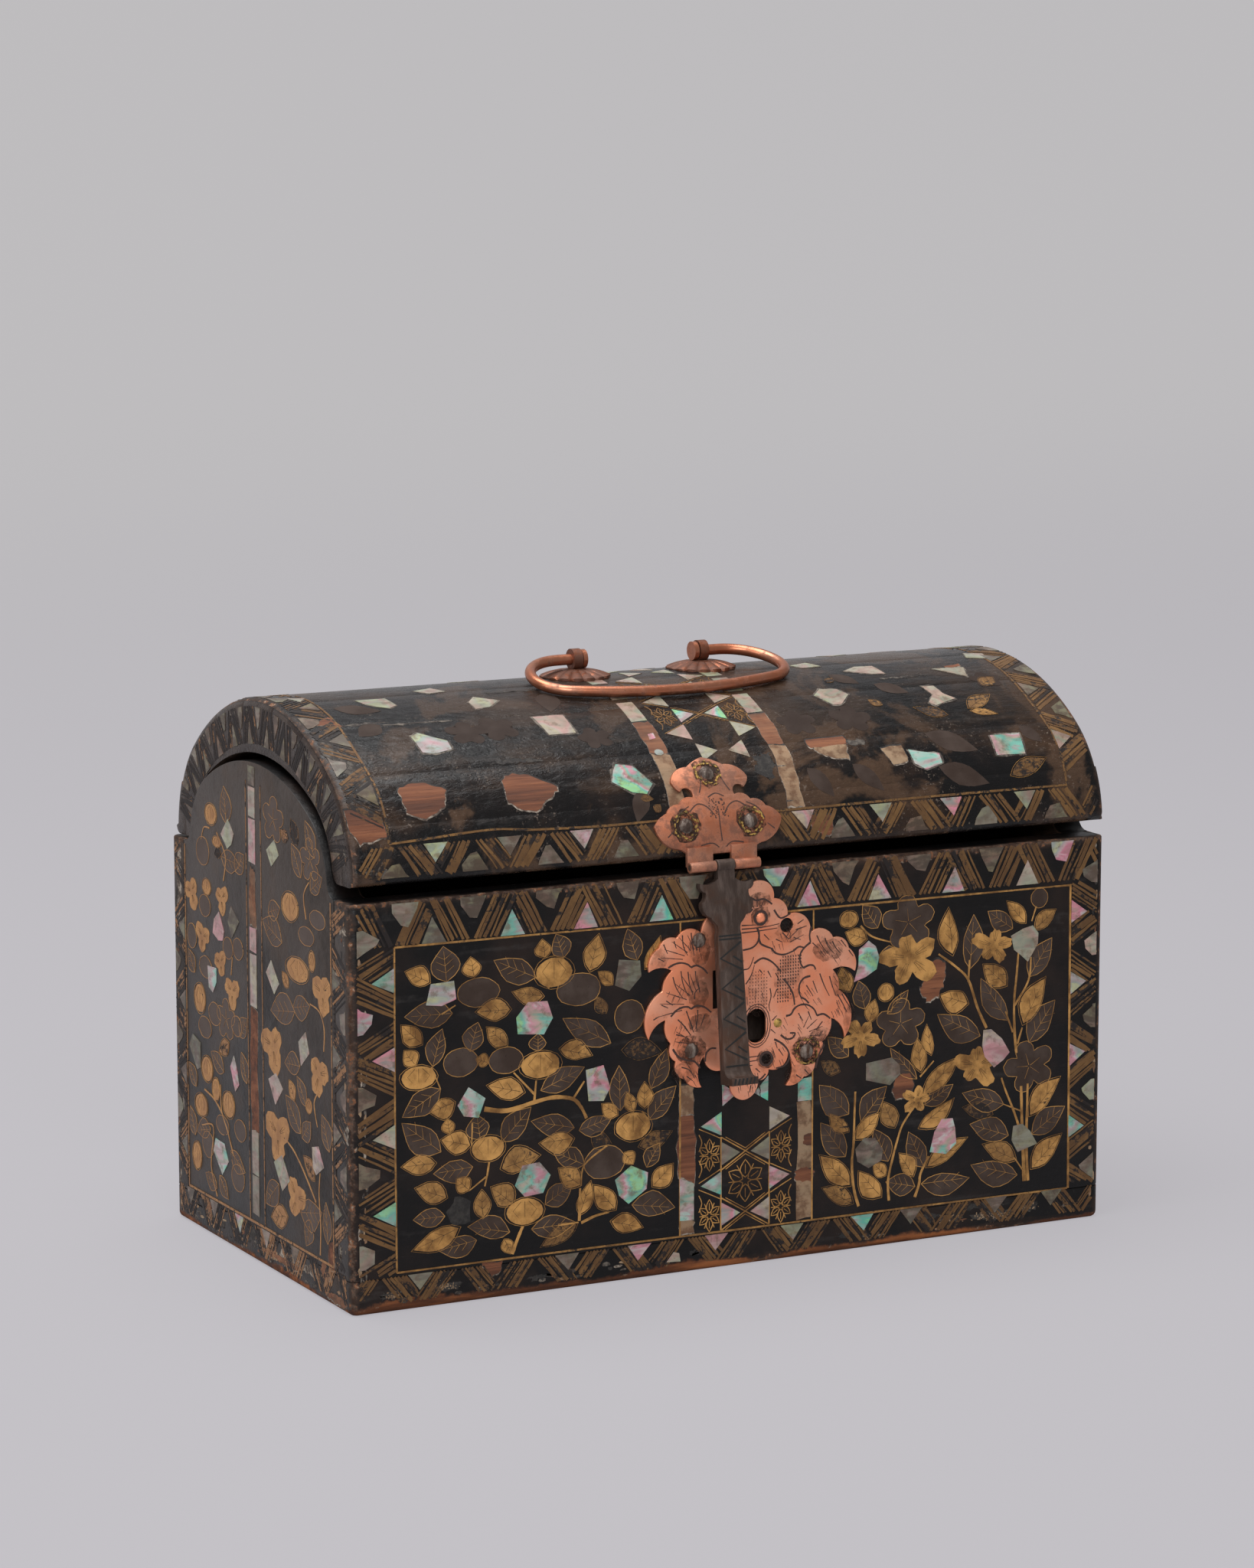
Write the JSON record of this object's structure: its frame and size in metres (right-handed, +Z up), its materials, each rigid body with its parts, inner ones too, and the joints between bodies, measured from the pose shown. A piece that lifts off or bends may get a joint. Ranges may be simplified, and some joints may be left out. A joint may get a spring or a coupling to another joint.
{
  "type": "domed coffer",
  "caption": "Small domed lacquered wooden coffer with a coopered barrel lid, copper lock plate, iron hasp, box lock, rear hinges and a bail handle on the lid.",
  "frame": {"origin": "middle of the underside", "axes": "+X to the right seen from the front, +Y to the back, +Z up; the lid stands slightly ajar"},
  "size_m": [0.228, 0.1388, 0.1608],
  "materials": {
    "lacquer": "worn black lacquer with gold and shell inlay over wood",
    "bare_wood": "plain",
    "copper": "tarnished copper, chased",
    "iron": "dark, engraved and worn"
  },
  "bodies": {
    "box": {"bottom_board": "lacquer", "front_board": "lacquer", "back_board": "lacquer", "left_end_board": "lacquer", "right_end_board": "lacquer", "board_pegs": "bare_wood", "floor_pegs": "bare_wood", "lock_plate": "copper", "lock_plate_nails": "iron", "lock_plate_rivets": "copper", "lock_bolt_guides": "iron", "lock_back_plate": "iron", "lock_back_plate_nails": "iron", "lock_spring": "iron", "left_hinge_box_leaf": "copper", "right_hinge_box_leaf": "copper", "left_hinge_pin": "copper", "right_hinge_pin": "copper", "hinge_box_nails": "iron"},
    "lid": {"left_lid_rib": "lacquer", "right_lid_rib": "lacquer", "lid_stave_1": "lacquer", "lid_stave_2": "lacquer", "lid_stave_3": "lacquer", "lid_stave_4": "lacquer", "lid_stave_5": "lacquer", "lid_stave_6": "lacquer", "lid_stave_7": "lacquer", "lid_stave_8": "lacquer", "lid_stave_9": "lacquer", "hasp_plate": "copper", "hasp_plate_nails": "iron", "hasp_pin": "iron", "left_hinge_lid_leaf": "copper", "right_hinge_lid_leaf": "copper", "hinge_lid_nails": "iron", "left_rosette": "copper", "right_rosette": "copper", "left_handle_eye": "copper", "right_handle_eye": "copper"},
    "hasp": {"hasp": "iron", "hasp_staple": "iron"},
    "handle": {"bail_handle": "copper"},
    "bolt": {"lock_bolt": "iron"}
  },
  "joints": [
    {"name": "lid_hinge", "type": "hinge", "parent": "box", "child": "lid", "pos_m": [0, 0.0623, 0.1082], "axis": [-1, 0, 0], "range_deg": [-1.75, 100]},
    {"name": "hasp_hinge", "type": "hinge", "parent": "lid", "child": "hasp", "pos_m": [-0.0066, -0.0622, 0.1101], "axis": [-1, 0, 0], "range_deg": [-5.4, 150]},
    {"name": "bail_hinge", "type": "hinge", "parent": "lid", "child": "handle", "pos_m": [0.0008, 0.00149, 0.15788], "axis": [-1, 0, 0], "range_deg": [0, 148.4]},
    {"name": "bolt_slide", "type": "slide", "parent": "box", "child": "bolt", "axis": [-1, 0, 0], "range_m": [0, 0.007]}
  ]
}
